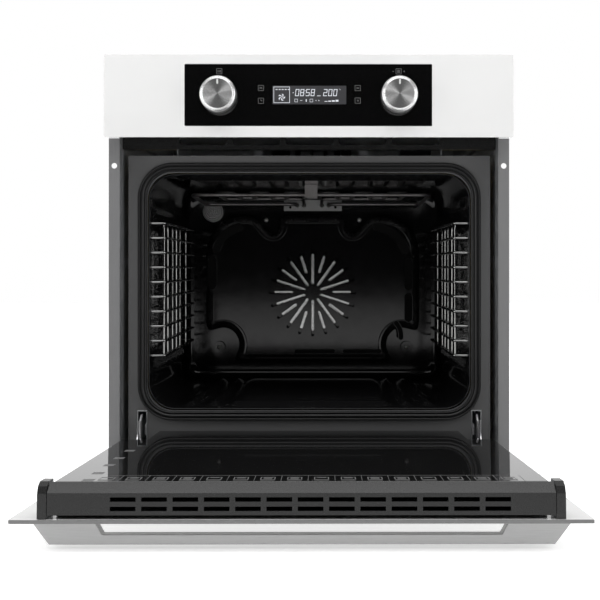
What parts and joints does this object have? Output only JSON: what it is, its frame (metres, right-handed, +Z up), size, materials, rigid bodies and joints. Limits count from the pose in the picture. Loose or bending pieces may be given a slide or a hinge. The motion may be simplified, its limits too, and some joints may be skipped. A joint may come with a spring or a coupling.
{
  "type": "wall oven",
  "caption": "Built-in 60 cm electric oven with drop-down glass door, bar handle, two knobs and a display, fan-assisted enamelled cavity and side racks.",
  "frame": {"origin": "middle of the carcase underside, where it stands on the shelf of its niche", "axes": "+Z up, -Y out of the front, towards the open door, +X to the right of someone who faces the front"},
  "size_m": [0.595, 0.9933, 0.599],
  "materials": {
    "galvanised_sheet": "zinc-coated sheet",
    "flange_steel": "satin",
    "front_frame_paint": "satin grey enamel",
    "black_plastic": "fine grain",
    "enamel": "gloss vitreous enamel",
    "seal_rubber": "matt",
    "glass_wool": "fibrous",
    "motor_steel": "satin",
    "bright_steel": "bright",
    "heater_steel": "heat-darkened",
    "lamp_glass": "ribbed",
    "rack_chrome": "polished",
    "white_front": "gloss",
    "circuit_board": "solder mask",
    "knob_metal": "spun",
    "hinge_steel": "bright zinc",
    "dark_glass": "coated, mirror-like",
    "handle_metal": "satin"
  },
  "bodies": {
    "carcase": {"base_plate": "galvanised_sheet", "top_cover": "galvanised_sheet", "rear_cover": "galvanised_sheet", "side_panel_left": "galvanised_sheet", "side_panel_right": "galvanised_sheet", "air_duct": "galvanised_sheet", "blower_housing": "galvanised_sheet", "hinge_receiver_left": "galvanised_sheet", "hinge_receiver_right": "galvanised_sheet", "mounting_flange_left": "flange_steel", "mounting_flange_right": "flange_steel", "front_frame": "front_frame_paint", "vent_strip": "black_plastic", "lamp_housing": "black_plastic", "terminal_box": "black_plastic", "panel_carrier": "black_plastic", "display_module": "black_plastic", "cavity_liner": "enamel", "fan_cover": "enamel", "door_gasket": "seal_rubber", "insulation": "glass_wool", "fan_motor": "motor_steel", "blower_motor": "motor_steel", "function_encoder": "motor_steel", "temperature_encoder": "motor_steel", "grill_terminal_plate": "bright_steel", "grill_clip": "bright_steel", "temperature_sensor": "bright_steel", "ring_heater": "heater_steel", "grill_heater_inner": "heater_steel", "grill_heater_outer": "heater_steel", "bottom_heater": "heater_steel", "lamp_glass": "lamp_glass", "lamp_bulb": "lamp_glass", "rack_left": "rack_chrome", "rack_right": "rack_chrome", "control_panel": "white_front", "control_board": "circuit_board", "hinge_arm_left": "hinge_steel", "hinge_arm_right": "hinge_steel"},
    "door": {"door_outer_panel": "white_front", "door_middle_glass": "dark_glass", "door_inner_glass": "dark_glass", "door_top_trim": "black_plastic", "door_bottom_rail": "black_plastic", "door_handle": "handle_metal", "door_end_cap_left": "black_plastic", "door_end_cap_right": "black_plastic", "door_side_rail_left": "black_plastic", "door_side_rail_right": "black_plastic", "hinge_case_left": "hinge_steel", "hinge_case_right": "hinge_steel"},
    "function_knob": {"function_knob": "knob_metal"},
    "temperature_knob": {"temperature_knob": "knob_metal"},
    "convection_fan": {"fan_rotor": "bright_steel"},
    "cooling_blower": {"blower_rotor": "black_plastic"},
    "hinge_latch_left": {"hinge_latch_left": "hinge_steel"},
    "hinge_latch_right": {"hinge_latch_right": "hinge_steel"},
    "hinge_rod_left": {"hinge_rod_left": "hinge_steel"},
    "hinge_rod_right": {"hinge_rod_right": "hinge_steel"}
  },
  "joints": [
    {"name": "door_hinge", "type": "hinge", "parent": "carcase", "child": "door", "pos_m": [0, -0.275, 0.02], "axis": [-1, 0, 0], "range_deg": [0, 87.3]},
    {"name": "function_knob_turn", "type": "hinge", "parent": "carcase", "child": "function_knob", "pos_m": [-0.1307, -0.3, 0.5392], "axis": [0, -1, 0], "continuous": true},
    {"name": "temperature_knob_turn", "type": "hinge", "parent": "carcase", "child": "temperature_knob", "pos_m": [0.1307, -0.3, 0.5392], "axis": [0, -1, 0], "continuous": true},
    {"name": "fan_spin", "type": "hinge", "parent": "carcase", "child": "convection_fan", "pos_m": [0, 0.165, 0.2415], "axis": [0, -1, 0], "continuous": true},
    {"name": "blower_spin", "type": "hinge", "parent": "carcase", "child": "cooling_blower", "pos_m": [0, 0.025, 0.48], "axis": [0, 0, 1], "continuous": true},
    {"name": "latch_left_flip", "type": "hinge", "parent": "carcase", "child": "hinge_latch_left", "pos_m": [-0.254, -0.247, 0.058], "axis": [-1, 0, 0], "range_deg": [0, 95]},
    {"name": "latch_right_flip", "type": "hinge", "parent": "carcase", "child": "hinge_latch_right", "pos_m": [0.254, -0.247, 0.058], "axis": [-1, 0, 0], "range_deg": [0, 95]},
    {"name": "rod_left_slide", "type": "slide", "parent": "door", "child": "hinge_rod_left", "axis": [0, -0.9989, 0.0471], "range_m": [0, 0.0153]},
    {"name": "rod_right_slide", "type": "slide", "parent": "door", "child": "hinge_rod_right", "axis": [0, -0.9989, 0.0471], "range_m": [0, 0.0153]}
  ],
  "couplings": [
    {"joint": "rod_left_slide", "follows": "door_hinge", "m_per_rad": 0.01},
    {"joint": "rod_right_slide", "follows": "door_hinge", "m_per_rad": 0.01}
  ]
}
